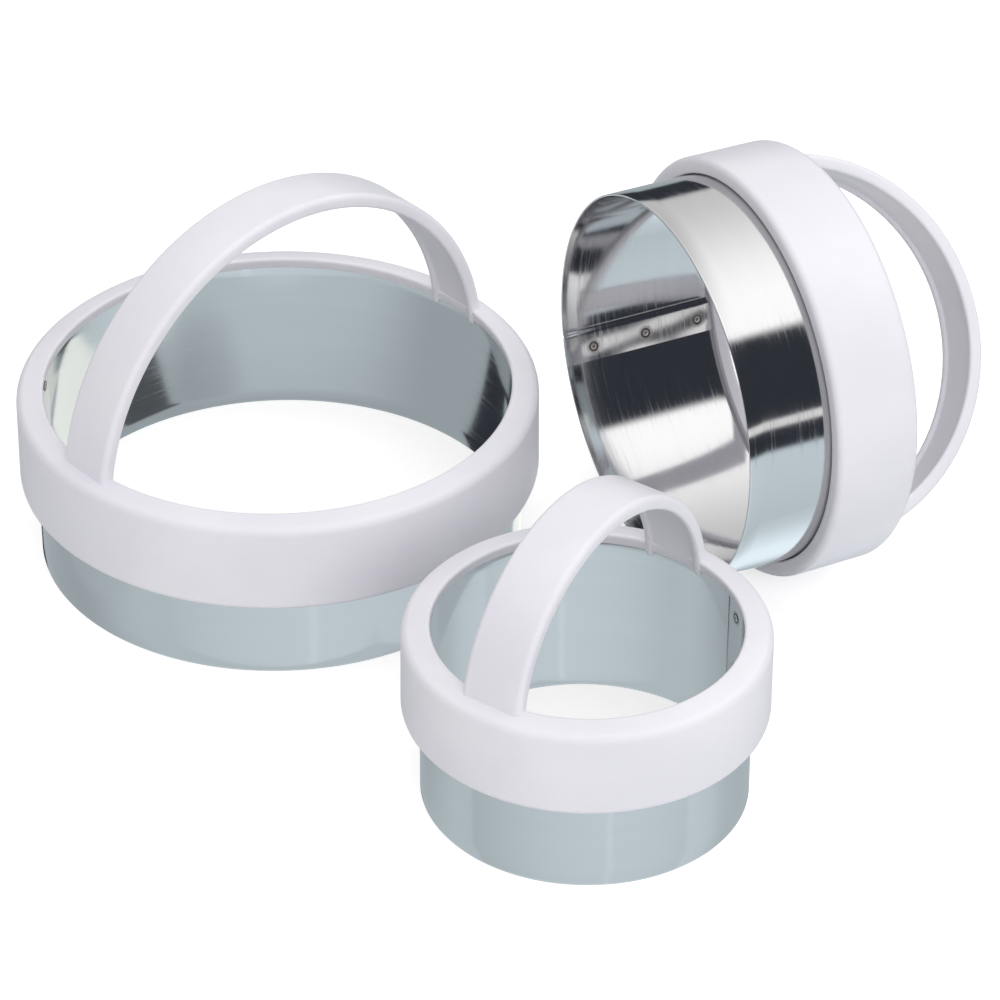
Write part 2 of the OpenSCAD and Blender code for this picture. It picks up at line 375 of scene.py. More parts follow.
def steel(cutter):
    material, recipe = new_material("steel_" + cutter.size)
    place = own_place(recipe, cutter)
    grain = streaks(recipe, place, GRAIN_ROUND, GRAIN_UP, detail=4)
    broad = recipe.smooth(streaks(recipe, place, BROAD_ROUND, BROAD_UP, detail=3), *BROAD_RANGE)
    scratched = recipe.smooth(streaks(recipe, place, SCRATCH_ROUND, SCRATCH_UP, detail=5), *SCRATCH_RANGE)
    smudge = recipe.smooth(recipe.noise(place, SMUDGE_GRAIN, detail=6, roughness=0.62), *SMUDGE_RANGE)
    speck = recipe.smooth(recipe.noise(place, SPECK_GRAIN, detail=1), *SPECK_RANGE)
    tint = near_welds(recipe, cutter, place)
    edge = 1 - recipe.smooth(part_of(recipe, place, "Z"), *WORN_EDGE)
    bright = recipe.mix_colour(edge, STEEL, STEEL_WORN)
    streaked = recipe.mix_colour(broad * BROAD_PALES, bright, STEEL_WORN)
    lines = grain * GRAIN_DULLS + scratched * SCRATCH_DULLS
    marks = smudge * SMUDGE_DULLS + speck * SPECK_DULLS + tint * TINT_DULLS
    shader = recipe.node("ShaderNodeBsdfPrincipled", None, {
        "Base Color": recipe.mix_colour(tint * TINT_DEPTH, streaked, HEAT_TINT),
        "Metallic": 1.0,
        "Roughness": POLISH + lines + marks,
        "Normal": recipe.bump(grain, GRAIN_STRENGTH, GRAIN_DEPTH),
    })
    recipe.finish(shader)
    return material


print("roughness from %.2f to %.3f on a scratch" % (POLISH, POLISH + GRAIN_DULLS + SCRATCH_DULLS))

# %% [markdown]
# ## Weld metal
#
# A spot weld is a shallow round dent that the electrode pressed and burnt. Its middle is brown, the
# metal pushed up round it is bright, and outside that it is scorched dark, so the colour follows the
# distance from the weld's own axis. The three welds stand in a row, so a ping-pong of the height finds
# the nearest one.

# %% Weld
BURNT = colour(0.24, 0.15, 0.06)
PRESSED = colour(0.72, 0.72, 0.71)
SCORCHED = colour(0.17, 0.16, 0.16)
PRESSED_FROM = (0.2 * MM, 0.34 * MM)
SCORCHED_FROM = (0.5 * MM, 0.64 * MM)
RAGGED_GRAIN = 1400
RAGGED_REACH = 0.35 * MM
RAGGED_DEPTH = 0.05 * MM
RAGGED_STRENGTH = 0.4
BURNT_METAL = 0.3
PRESSED_METAL = 0.6
BURNT_DULL = 0.45
PRESSED_SHINES = 0.15


def weld_metal(cutter):
    material, recipe = new_material("weld_" + cutter.size)
    place = own_place(recipe, cutter)
    x, y, z = [part_of(recipe, place, letter) for letter in "XYZ"]
    across = x * -math.sin(cutter.lap_turn) + y * math.cos(cutter.lap_turn)
    above = z - weld_height(cutter, 0)
    nearest = above.maths("PINGPONG", above, WELD_PITCH / 2)
    apart = (across * across + nearest * nearest) ** 0.5
    ragged = recipe.noise(place, RAGGED_GRAIN, detail=3)
    uneven = apart + (ragged - 0.5) * RAGGED_REACH
    pressed = recipe.smooth(uneven, *PRESSED_FROM)
    scorched = recipe.smooth(uneven, *SCORCHED_FROM)
    middle = recipe.mix_colour(pressed, BURNT, PRESSED)
    shader = recipe.node("ShaderNodeBsdfPrincipled", None, {
        "Base Color": recipe.mix_colour(scorched, middle, SCORCHED),
        "Metallic": BURNT_METAL + pressed * PRESSED_METAL,
        "Roughness": BURNT_DULL - pressed * PRESSED_SHINES,
        "Normal": recipe.bump(ragged, RAGGED_STRENGTH, RAGGED_DEPTH),
    })
    recipe.finish(shader)
    return material


print("a weld is %.1f mm across, scorched from %.2f mm out" % (WELD_D / MM, SCORCHED_FROM[0] / MM))

# %% [markdown]
# ## Working in edit mode
#
# An operator acts on whatever is selected, so everything is deselected first. These helpers start a
# piece in edit mode, select its vertices by their place, spin them round the axis, and put a finished
# shape in its place.

# %% Selecting
def fresh(name):
    """The primitive that was just added, under its name, in edit mode with nothing selected."""
    piece = bpy.context.object
    piece.name = name
    piece.data.name = name
    bpy.ops.object.mode_set(mode="EDIT")
    bpy.ops.mesh.select_all(action="DESELECT")
    return piece


def clear_selection():
    if bpy.context.object and bpy.context.object.mode == "EDIT":
        bpy.ops.object.mode_set(mode="OBJECT")
    bpy.ops.object.select_all(action="DESELECT")


def pick(piece, test):
    """Selects the vertices that pass a test of their place, with the edges and faces between them."""
    mesh = bmesh.from_edit_mesh(piece.data)
    for vertex in mesh.verts:
        vertex.select_set(test(vertex.co))
    mesh.select_flush_mode()
    bmesh.update_edit_mesh(piece.data)


def choose(piece):
    """Selects one object alone and makes it the active one."""
    clear_selection()
    piece.select_set(True)
    bpy.context.view_layer.objects.active = piece


# %% Spinning and placing
def spin(turn, steps):
    """Spins the selection about Z by an angle that counts anticlockwise. With no window, the operator
    turns the other way, so the sign changes here."""
    bpy.ops.mesh.spin(steps=steps, angle=-turn, center=(0, 0, 0), axis=(0, 0, 1))


def put_in_place(piece, place):
    """Turns and moves a piece by a matrix, and leaves that in its mesh."""
    choose(piece)
    piece.matrix_world = place @ piece.matrix_world
    bpy.ops.object.transform_apply(location=True, rotation=True, scale=True)


# %% [markdown]
# ## Finishing a piece
#
# Each piece is closed, faces outwards and lies at the origin with its place in its mesh. Then it gets its
# finish, and it stands for its plain solid on that solid's body. Its open edges are counted and printed:
# a closed piece has none.

# %% Joining and dressing
MERGE = 0.001 * MM


def close_up(piece):
    """Merges doubles and points every face outwards."""
    choose(piece)
    bpy.ops.object.mode_set(mode="EDIT")
    bpy.ops.mesh.select_all(action="SELECT")
    bpy.ops.mesh.remove_doubles(threshold=MERGE)
    bpy.ops.mesh.normals_make_consistent(inside=False)
    bpy.ops.object.mode_set(mode="OBJECT")


def combine(piece, other, operation):
    """Joins another solid to a piece, or cuts it out, and deletes the other."""
    choose(piece)
    boolean = piece.modifiers.new(operation.lower(), "BOOLEAN")
    boolean.operation = operation
    boolean.solver = "MANIFOLD"
    boolean.object = other
    bpy.ops.object.modifier_apply(modifier=boolean.name)
    bpy.data.objects.remove(other)


def smooth_up_to(degrees):
    """Shades the chosen piece smooth, and keeps a crisp line at any sharper angle."""
    bpy.ops.object.shade_smooth_by_angle(angle=math.radians(degrees))


def dress(piece, cutter, material, node):
    """Gives a piece its finish, and puts it on its body in place of its plain solid."""
    piece.data.materials.clear()
    piece.data.materials.append(material)
    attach(piece, cutter.body)
    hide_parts(node)
    mesh = bmesh.new()
    mesh.from_mesh(piece.data)
    open_edges = sum(not edge.is_manifold for edge in mesh.edges)
    volume = mesh.calc_volume() / MM ** 3
    mesh.free()
    print(piece.name, len(piece.data.polygons), "faces, %.0f mm3, open edges:" % volume, open_edges)


# %% [markdown]
# ## Outlines with rounded corners
#
# The ring and the handle are both an outline carried round an axis. The outline starts as a circle
# primitive with as many corners as it needs. Each corner is put in place and then bevelled by its own
# radius. A bevel's offset is measured along the edges, so it is the radius over the tangent of half the
# corner's angle.

# %% Outline
def corner_offset(before, here, after, radius):
    back = (Vector(before[:2]) - Vector(here[:2])).normalized()
    on = (Vector(after[:2]) - Vector(here[:2])).normalized()
    return radius / math.tan(back.angle(on) / 2)


def outline(name, corners, segments):
    """An open outline in the XZ plane, from corners of x, z and rounding, in millimetres."""
    bpy.ops.mesh.primitive_circle_add(vertices=len(corners), radius=MM, fill_type="NGON")
    piece = fresh(name)
    mesh = bmesh.from_edit_mesh(piece.data)
    for vertex, (x, z, rounding) in zip(mesh.verts, corners):
        vertex.co = (x * MM, 0, z * MM)
    bmesh.update_edit_mesh(piece.data)
    for i, (x, z, rounding) in enumerate(corners):
        if rounding:
            offset = corner_offset(corners[i - 1], corners[i], corners[(i + 1) % len(corners)], rounding)
            here = Vector((x, 0, z)) * MM
            pick(piece, lambda co: (co - here).length < MERGE)
            bpy.ops.mesh.bevel(offset=offset * MM, segments=segments, affect="VERTICES", clamp_overlap=False)
    bpy.ops.mesh.select_all(action="SELECT")
    bpy.ops.mesh.delete(type="ONLY_FACE")
    bpy.ops.mesh.select_all(action="SELECT")
    return piece


# %% [markdown]
# ## The moulded ring
#
# Seen end on, the ring is a wall with a skirt at the bottom, standing a little clear of the steel, a
# slight taper, a rounded shoulder, and an inner lip over the steel's upper edge. Spinning that outline
# once round the axis makes the ring.

# %% Ring
OVERHANG = 3.1
SKIRT_GAP = 0.14
SKIRT_GAP_DEPTH = 4
SKIRT_ROUND = 1.2
MOUTH_ROUND = 0.4
SHOULDER_ROUND = 1.6
SHOULDER_DROP = 0.9
COVER = 1.4
LIP_REACH = 1.95
LIP_HEIGHT = 2.2
LIP_SET_BACK = 0.45
LIP_ROUND = 0.55
LIP_EDGE_ROUND = 0.2
SHEET = 0.35
RING_STEPS = 236
RING_ROUND_STEPS = 7


def ring_corners(cutter):
    """The ring's section, as distance from the axis, height and rounding, in millimetres."""
    r = cutter.radius / MM
    bottom = cutter.skirt_bottom / MM
    rim = cutter.band_top / MM + COVER
    lip = rim - LIP_HEIGHT
    shoulder = rim - SHOULDER_DROP
    wall = r + OVERHANG - (shoulder - bottom) * math.tan(math.radians(TAPER))
    return [
        (r + SKIRT_GAP, bottom, MOUTH_ROUND),
        (r + OVERHANG, bottom, SKIRT_ROUND),
        (wall, shoulder, SHOULDER_ROUND),
        (r - LIP_REACH, rim, LIP_ROUND),
        (r - LIP_REACH + LIP_SET_BACK, lip, LIP_EDGE_ROUND),
        (r - SHEET, lip, 0),
        (r - SHEET, rim - COVER, 0),
        (r, rim - COVER, 0),
        (r, bottom + SKIRT_GAP_DEPTH, 0),
        (r + SKIRT_GAP, bottom + SKIRT_GAP_DEPTH, 0),
    ]


def ring(cutter):
    piece = outline(cutter.size + "_grip_moulding", ring_corners(cutter), RING_ROUND_STEPS)
    spin(math.tau, RING_STEPS)
    close_up(piece)
    return piece


for each in cutters:
    print(each.size, "ring %.1f mm across at its skirt" % (2 * (each.radius / MM + OVERHANG)))

# %% [markdown]
# ## The arched handle
#
# The handle is a strap bent to a half circle. A curve with this section would bend it too, but a spin
# keeps the arch an exact circle. So the bar is an outline spun through just under half a turn beside the
# axis, and then stood up. Its ends stop inside the plastic over the band, so the union with the ring
# leaves no gap.

# %% Handle sizes
HANDLE_TURN = {"large": 42, "medium": 147, "small": 54.6}
HANDLE_OVER = {"large": 0.6, "medium": -0.2, "small": 0.2}
HANDLE_WIDTH = 11
HANDLE_DEPTH = 2.5
CHANNEL_DEPTH = 0.7
FLANGE = 1.3
HANDLE_ROUND = 1.0
FLANGE_ROUND = 0.5
SEAT = 0.05


class HandleSizes:
    """A handle's radii and heights on the upright cutter, in millimetres, and its two turns."""

    def __init__(self, cutter):
        self.outer = cutter.radius / MM + HANDLE_OVER[cutter.size]
        self.inner = self.outer - HANDLE_DEPTH
        self.centre = cutter.handle_top / MM - self.outer
        self.rim = cutter.band_top / MM + COVER
        self.lip = self.rim - LIP_HEIGHT
        self.steel = cutter.radius / MM - SHEET
        upright = Matrix.Rotation(math.radians(90), 4, "X")
        self.stand = Matrix.Translation((0, 0, self.centre * MM)) @ upright
        self.turn = Matrix.Rotation(math.radians(HANDLE_TURN[cutter.size]), 4, "Z")

    def inside_at(self, z):
        """Distance from the axis to the flanges' inner faces at a height."""
        return math.sqrt(self.inner ** 2 - (z - self.centre) ** 2)


for each in cutters:
    print(each.size, "handle %.1f mm across outside" % (HandleSizes(each).outer * 2))

# %% Bar
HANDLE_STEPS = 140
BAR_ROUND_STEPS = 6
ROOT_DEPTH_SHARE = 2 / 3


def fill_ends():
    """Closes the open ends that a part turn leaves."""
    piece = bpy.context.object
    bpy.ops.mesh.select_all(action="DESELECT")
    mesh = bmesh.from_edit_mesh(piece.data)
    for edge in mesh.edges:
        edge.select_set(edge.is_boundary)
    bmesh.update_edit_mesh(piece.data)
    bpy.ops.mesh.edge_face_add()


def handle_bar(cutter, sizes):
    edge = HANDLE_WIDTH / 2
    piece = outline(cutter.size + "_handle_bar", [
        (sizes.inner, -edge, FLANGE_ROUND),
        (sizes.outer, -edge, HANDLE_ROUND),
        (sizes.outer, edge, HANDLE_ROUND),
        (sizes.inner, edge, FLANGE_ROUND),
    ], BAR_ROUND_STEPS)
    root = sizes.rim - COVER * ROOT_DEPTH_SHARE - sizes.centre
    start = math.asin(root / sizes.outer)
    spin(math.pi - 2 * start, HANDLE_STEPS)
    fill_ends()
    bpy.ops.object.mode_set(mode="OBJECT")
    put_in_place(piece, sizes.turn @ sizes.stand @ Matrix.Rotation(start, 4, "Z"))
    close_up(piece)
    return piece


# %% [markdown]
# ## Feet and nubs
#
# Each leg carries on below the ring's top as a foot inside the lip, and each of its flanges ends there in
# a small rounded nub. A foot is a cube sized to reach from the leg's inside nearly to the steel, and a
# nub is a short cylinder with a rounded lower end. They could be extruded from the bar's own ends, but
# those lie across the arch, and a foot stands upright. Both start well inside the plastic above them,
# which the union needs.

# %% Feet and nubs
NUB_DROP = 0.3
NUB_SIDES = 28
NUB_ROUND_SHARE = 0.75
NUB_ROUND_STEPS = 5


def foot(cutter, sizes, side):
    """The block that carries a leg down to the lip's underside."""
    inside = sizes.inside_at(sizes.lip) - SEAT
    outside = math.sqrt((sizes.steel - SEAT) ** 2 - (HANDLE_WIDTH / 2) ** 2)
    low = sizes.lip + SEAT
    high = sizes.rim - COVER / 2
    middle = Vector(((inside + outside) / 2, 0, (low + high) / 2)) * MM
    bpy.ops.mesh.primitive_cube_add(size=MM, location=middle)
    piece = fresh(cutter.size + "_foot")
    bpy.ops.object.mode_set(mode="OBJECT")
    piece.scale = (outside - inside, HANDLE_WIDTH - 2 * SEAT, high - low)
    put_in_place(piece, sizes.turn @ Matrix.Rotation(side, 4, "Z"))
    return piece


def nub(cutter, sizes, side, across):
    radius = FLANGE / 2 - SEAT
    top = COVER / 2 + LIP_HEIGHT / 2
    low = -NUB_DROP - radius
    reach = sizes.inside_at(sizes.lip) + radius + SEAT
    y = across * (HANDLE_WIDTH - FLANGE) / 2
    middle = Vector((reach, y, sizes.lip + (top + low) / 2)) * MM
    bpy.ops.mesh.primitive_cylinder_add(
        vertices=NUB_SIDES, radius=radius * MM, depth=(top - low) * MM, location=middle)
    piece = fresh(cutter.size + "_nub")
    pick(piece, lambda co: co.z < 0)
    rounding = radius * NUB_ROUND_SHARE * MM
    bpy.ops.mesh.bevel(offset=rounding, segments=NUB_ROUND_STEPS, affect="EDGES", clamp_overlap=False)
    bpy.ops.object.mode_set(mode="OBJECT")
    put_in_place(piece, sizes.turn @ Matrix.Rotation(side, 4, "Z"))
    return piece


# %% [markdown]
# ## The channel
#
# A shallow channel runs along the handle's inside and leaves a flange on each edge. It is cut by a drum
# with a raised middle as wide as the channel, and the curve at the foot of that middle rounds the
# flanges' inner edges. A channel in the bar's own outline would stop where the bar stops, and the drum
# carries it on down the feet.

# %% Channel
CHANNEL_ROUND = 0.3
CHANNEL_ROUND_STEPS = 5
CUT_OVERRUN = 1
DRUM_BORE_SHARE = 1 / 3


def channel(cutter, sizes):
    """The drum that is cut from the handle's inside."""
    half = HANDLE_WIDTH / 2 - FLANGE
    web = sizes.inner + CHANNEL_DEPTH
    mouth = sizes.inner - SEAT / 2
    wide = HANDLE_WIDTH / 2 + CUT_OVERRUN
    bore = sizes.inner * DRUM_BORE_SHARE
    piece = outline(cutter.size + "_channel", [
        (bore, -wide, 0),
        (mouth, -wide, 0),
        (mouth, -half, FLANGE_ROUND),
        (web, -half, CHANNEL_ROUND),
        (web, half, CHANNEL_ROUND),
        (mouth, half, FLANGE_ROUND),
        (mouth, wide, 0),
        (bore, wide, 0),
    ], CHANNEL_ROUND_STEPS)
    spin(math.tau, HANDLE_STEPS * 2)
    bpy.ops.object.mode_set(mode="OBJECT")
    put_in_place(piece, sizes.turn @ sizes.stand)
    close_up(piece)
    return piece


# %% [markdown]
# ## Joining the moulding
#
# Ring, handle, feet and nubs come out of one mould as one piece. Boolean modifiers join them, so no wall is
# left inside. The channel is cut when the feet are on, because it runs on down them, and the ring comes
# last. The solver leaves a closed solid that faces outwards, so nothing is merged after it. Smooth shading
# by angle then leaves the crisp line that the real moulding has where a leg meets the ring.

# %% Grips
GRIP_CREASE = 32


def grip(cutter):
    sizes = HandleSizes(cutter)
    handle = handle_bar(cutter, sizes)
    for side in (0, math.pi):
        combine(handle, foot(cutter, sizes, side), "UNION")
        for across in (-1, 1):
            combine(handle, nub(cutter, sizes, side, across), "UNION")
    combine(handle, channel(cutter, sizes), "DIFFERENCE")
    piece = ring(cutter)
    combine(piece, handle, "UNION")
    put_in_place(piece, cutter.place)
    smooth_up_to(GRIP_CREASE)
    dress(piece, cutter, plastic(cutter), cutter.size + "_grip")


for each in cutters:
    grip(each)

# %% [markdown]
# ## The steel strip
#
# The band is one strip. Its outer end lies over the lap, and the strip runs once round to a joggle, an
# S-bend as deep as the sheet is thick, that carries the inner end under the outer one. The strip's end
# section is a thin outline with eased edges, subdivided up its height. It is spun round the band,
# carried through the joggle in short steps, and spun on under the lap.

# %% Strip
LAP_LENGTH = 5.2
JOGGLE_LENGTH = 1.2
JOGGLE_STEPS = 8
LAP_GAP = 0.02
EDGE_EASE = 0.08
BAND_STEPS = 300
LAP_STEPS = 20
EDGE_EASE_STEPS = 3
UP_CUTS = 9


def smooth_step(share):
    return share * share * (3 - 2 * share)


def strip(cutter, half_lap):
    """The strip, rolled and joggled, with its outer end at angle 0."""
    radius = cutter.radius / MM
    top = cutter.band_top / MM
    joggle = JOGGLE_LENGTH / radius
    piece = outline(cutter.size + "_steel_band", [
        (radius, 0, EDGE_EASE),
        (radius, top, EDGE_EASE),
        (radius - SHEET, top, EDGE_EASE),
        (radius - SHEET, 0, EDGE_EASE),
    ], EDGE_EASE_STEPS)
    mesh = bmesh.from_edit_mesh(piece.data)
    for edge in mesh.edges:
        edge.select_set(edge.calc_length() > top * MM / 2)
    bmesh.update_edit_mesh(piece.data)
    bpy.ops.mesh.subdivide(number_cuts=UP_CUTS)
    bpy.ops.mesh.select_all(action="SELECT")
    spin(joggle - math.tau, BAND_STEPS)
    end_turn = joggle
    for i in range(JOGGLE_STEPS):
        spin(-joggle / JOGGLE_STEPS, 1)
        end_turn -= joggle / JOGGLE_STEPS
        step = smooth_step((i + 1) / JOGGLE_STEPS) - smooth_step(i / JOGGLE_STEPS)
        inward = Vector((-math.cos(end_turn), -math.sin(end_turn), 0))
        bpy.ops.transform.translate(value=inward * step * (SHEET + LAP_GAP) * MM)
    spin(-2 * half_lap, LAP_STEPS)
    fill_ends()
    bpy.ops.object.mode_set(mode="OBJECT")
    return piece


print("the strip's ends lap by %.1f mm, after a joggle of %.1f mm" % (LAP_LENGTH, JOGGLE_LENGTH))

# %% [markdown]
# ## What rolling and welding do to the strip
#
# No rolled band is truly round, and the electrodes press the lap flat. Both show at once in bright steel,
# because they bend what it mirrors. Each is a small move of the strip's points: a few slow waves round
# the band that fade towards its upper edge, and a flat, slightly buckled inner layer at the lap.

# %% Unevenness
ROLL_WAVE = 0.035
ROLL_WAVES = [
    # waves round the band, where they start, how far they twist up it, and their share
    (3, 1, 0, 0.5),
    (7, 2, 1, 0.3),
    (13, 0, 0, 0.2),
]
LAP_BUCKLE = 0.03
BUCKLES_UP = 13
BUCKLE_START = 2
SLOW_BUCKLES_UP = 5
SLOW_BUCKLE_SLANT = 4


def rolled_unevenly(piece, cutter):
    """A hand-fed roller leaves a band a few hundredths of a millimetre out of round."""
    for vertex in piece.data.vertices:
        angle = math.atan2(vertex.co.y, vertex.co.x)
        low = 1 - vertex.co.z / cutter.band_top
        wave = sum(math.sin(count * angle + start + twist * low) * share
                   for count, start, twist, share in ROLL_WAVES)
        out = Vector((vertex.co.x, vertex.co.y, 0)).normalized()
        vertex.co += out * wave * low * ROLL_WAVE * MM


def press_lap(piece, cutter, half_lap):
    """The welding electrodes press the inner layer flat, and it buckles a little between the welds. A
    flat strip shows one small part of the room over its whole width, where the round band squeezes the
    same part to a line."""
    inner_face = cutter.radius - (SHEET + LAP_GAP / 2) * MM
    for vertex in piece.data.vertices:
        out = Vector((vertex.co.x, vertex.co.y, 0))
        angle = (math.atan2(out.y, out.x) - cutter.lap_turn + math.pi) % math.tau - math.pi
        if out.length < inner_face and abs(angle) < half_lap:
            flat = out.length * (1 - math.cos(half_lap) / math.cos(angle))
            share = (half_lap - angle) / (2 * half_lap)
            height = vertex.co.z / cutter.band_top
            buckle = math.sin(height * BUCKLES_UP + BUCKLE_START) * share
            buckle += math.sin(height * SLOW_BUCKLES_UP + share * SLOW_BUCKLE_SLANT) / 2
            vertex.co -= out.normalized() * (flat + buckle * math.sin(share * math.pi) * LAP_BUCKLE * MM)


# %% Bands
BAND_CREASE = 40


def band(cutter):
    half_lap = LAP_LENGTH / 2 / (cutter.radius / MM)
    piece = strip(cutter, half_lap)
    put_in_place(piece, Matrix.Rotation(cutter.lap_turn + half_lap, 4, "Z"))
    press_lap(piece, cutter, half_lap)
    rolled_unevenly(piece, cutter)
    put_in_place(piece, cutter.place)
    close_up(piece)
    smooth_up_to(BAND_CREASE)
    dress(piece, cutter, steel(cutter), cutter.size + "_band")


for each in cutters:
    band(each)

# %% [markdown]
# ## The spot welds
#
# Each weld is a nugget through both layers, with a dished end inside, where the electrode pressed, and a
# shallow dimple outside. A short cylinder is turned to lie along the band's radius. Each end is inset and
# pushed in for its dish, and then inset once more, so that the dish's middle rises a little.

# %% Welds
WELD_PROUD = 0.1
WELD_OUTSIDE = 0.03
WELD_RIM = 0.28
INNER_DISH = 0.06
OUTER_DISH = 0.02
WELD_SIDES = 40
WELD_CREASE = 50
CROWN_SHARE = 1 / 3
END_REACH = 0.01


def weld(cutter, index):
    """One weld, its axis on X with the band's outside towards +X. Its inner end follows the pressed
    layer, which lies inwards of the round by the chord's rise."""
    radius = cutter.radius / MM
    pressed = (LAP_LENGTH / 2) ** 2 / 2 / radius
    inside = radius - 2 * SHEET - LAP_GAP - pressed - WELD_PROUD
    outside = radius + WELD_OUTSIDE
    middle = Vector(((inside + outside) / 2, 0, 0)) * MM
    bpy.ops.mesh.primitive_cylinder_add(
        vertices=WELD_SIDES, radius=WELD_D / 2, depth=(outside - inside) * MM,
        location=middle, rotation=(0, math.radians(90), 0))
    piece = fresh(cutter.size + "_weld_" + str(index))
    bpy.ops.object.mode_set(mode="OBJECT")
    # its own turn goes into its mesh first, so that an end can be picked by its X
    put_in_place(piece, Matrix())
    bpy.ops.object.mode_set(mode="EDIT")
    bpy.ops.mesh.select_all(action="DESELECT")
    for end, depth in ((inside, INNER_DISH), (outside, -OUTER_DISH)):
        pick(piece, lambda co: abs(co.x - end * MM) < END_REACH * MM)
        bpy.ops.mesh.inset(thickness=WELD_RIM * MM)
        bpy.ops.transform.translate(value=(depth * MM, 0, 0))
        bpy.ops.mesh.inset(thickness=WELD_RIM / 2 * MM)
        bpy.ops.transform.translate(value=(-depth * CROWN_SHARE * MM, 0, 0))
    bpy.ops.object.mode_set(mode="OBJECT")
    raised = Matrix.Translation((0, 0, weld_height(cutter, index)))
    put_in_place(piece, Matrix.Rotation(cutter.lap_turn, 4, "Z") @ raised)
    return piece


def welds(cutter):
    made = [weld(cutter, i) for i in range(WELD_COUNT)]
    clear_selection()
    for one in made:
        one.select_set(True)
    bpy.context.view_layer.objects.active = made[0]
    bpy.ops.object.join()
    piece = bpy.context.object
    piece.name = cutter.size + "_spot_welds"
    put_in_place(piece, cutter.place)
    close_up(piece)
    smooth_up_to(WELD_CREASE)
    dress(piece, cutter, weld_metal(cutter), cutter.size + "_welds")


for each in cutters:
    welds(each)

# %% [markdown]
# ## The floor
#
# The cutters stand on a plain white table. To the eye it is white and keeps a light shadow: a diffuse
# white, with a little glow for camera rays only, so that the table clips to white and the cutters don't.
# The steel doesn't see this table. It sees the studio's own, which the next step gives it.

# %% Floor
FLOOR_SIZE = 8
FLOOR_GLOW = 0.58
FLOOR_WHITE = colour(0.75, 0.75, 0.75)


def seen_directly(recipe):
    """1 for rays that come from the camera, or through something clear."""
    camera_ray = recipe.node("ShaderNodeLightPath", output="Is Camera Ray")
    return camera_ray + recipe.node("ShaderNodeLightPath", output="Is Transmission Ray")


bpy.ops.mesh.primitive_plane_add(size=FLOOR_SIZE, location=(0, 0, 0))
floor = bpy.context.object
floor.name = "floor"
floor.visible_glossy = False
material, recipe = new_material("white_table")
diffuse = recipe.node("ShaderNodeBsdfDiffuse", None, {"Color": FLOOR_WHITE})
glow = recipe.node("ShaderNodeEmission", None, {"Strength": seen_directly(recipe) * FLOOR_GLOW})
recipe.finish(recipe.node("ShaderNodeAddShader", None, {0: diffuse, 1: glow}))
floor.data.materials.append(material)
print("floor", tuple(round(v, 2) for v in floor.dimensions))

# %% [markdown]
# ## The studio
#
# A room of even light shows a white moulding as it is, and two soft lamps give it a light side and a
# shaded side. Bright steel shows the studio itself, so its look is mostly the studio's: a black room, a
# large softbox over the table, brightest to the right, and a cool pale table below. The world has one
# face for the camera and for soft light, and another, by direction, for what steel mirrors to the eye.
# Light that steel throws on the plastic is soft light too, which the ray's Diffuse Depth tells. An image
# of a real studio could do this, but a few smooth steps on the direction's share of an axis can be set
# one by one.

# %% World
ROOM_LIGHT = 0.82
BLACK_ROOM = colour(0.035, 0.04, 0.052)

world = bpy.data.worlds.new("studio")
world.use_nodes = True
bpy.context.scene.world = world
recipe = Recipe(world.node_tree)
look = recipe.node("ShaderNodeTexCoord", output="Generated")


def along(axis):
    """The share of the direction that lies along an axis."""
    sockets = {0: look, 1: axis}
    return recipe.node("ShaderNodeVectorMath", {"operation": "DOT_PRODUCT"}, sockets, output="Value")


rightward = along((1, 0, 0))
away = along((0, 1, 0))
up = along((0, 0, 1))
print("room light", ROOM_LIGHT)

# %% Softbox
SOFTBOX_AXIS = (0, 0.335, 0.942)
SOFTBOX_EDGE = (0.52, 0.6)
SOFTBOX_COLOUR = colour(1.0, 0.99, 0.99)
SOFTBOX_LEVEL = 0.72
SOFTBOX_RIGHT = 0.75
SOFTBOX_RIGHT_EDGE = (-0.1, 0.55)

softbox = recipe.smooth(along(SOFTBOX_AXIS), *SOFTBOX_EDGE)
softbox_level = recipe.smooth(rightward, *SOFTBOX_RIGHT_EDGE) * SOFTBOX_RIGHT + SOFTBOX_LEVEL
print("softbox from", SOFTBOX_LEVEL, "to", SOFTBOX_LEVEL + SOFTBOX_RIGHT)

# %% [markdown]
# ## The table that steel sees
#
# The table's far edge is the line between the room's black and the table's pale blue, a little tilted.
# The table is lighter on one side, and much lighter close to the cutters. Two things on it show as bands
# by their compass direction: a thin bright line and a pale card. At the right, where the black room meets
# the table, the wall's foot shows as a bright strip.

# %% Mirrored table
TABLE_COLOUR = colour(0.75, 0.853, 0.903)
TABLE_EDGE = (-0.25, -0.19)
TABLE_TILT = 0.088
TABLE_LEVEL = 0.79
TABLE_LIGHT_SIDE = (0.342, -0.94, 0)
TABLE_SWING = 0.27
LINE_BEARINGS = (2.80, 2.83, 2.86, 2.90)
CARD_BEARINGS = (1.1, 1.5, 1.80, 1.84)
BAND_LEVEL = 0.09
NEAR_LEVEL = 0.7
NEAR_SIDE = (0.4, 0.9, 0)
NEAR_SIDE_EDGE = (0.1, 0.4)
NEAR_DOWN_EDGE = (0.74, 0.88)
WALL_FOOT_SIDE = (0.79, -0.61, 0)
WALL_FOOT_EDGE = (0.75, 0.9)
WALL_FOOT_HEIGHTS = (-0.07, -0.045, 0.01, 0.035)

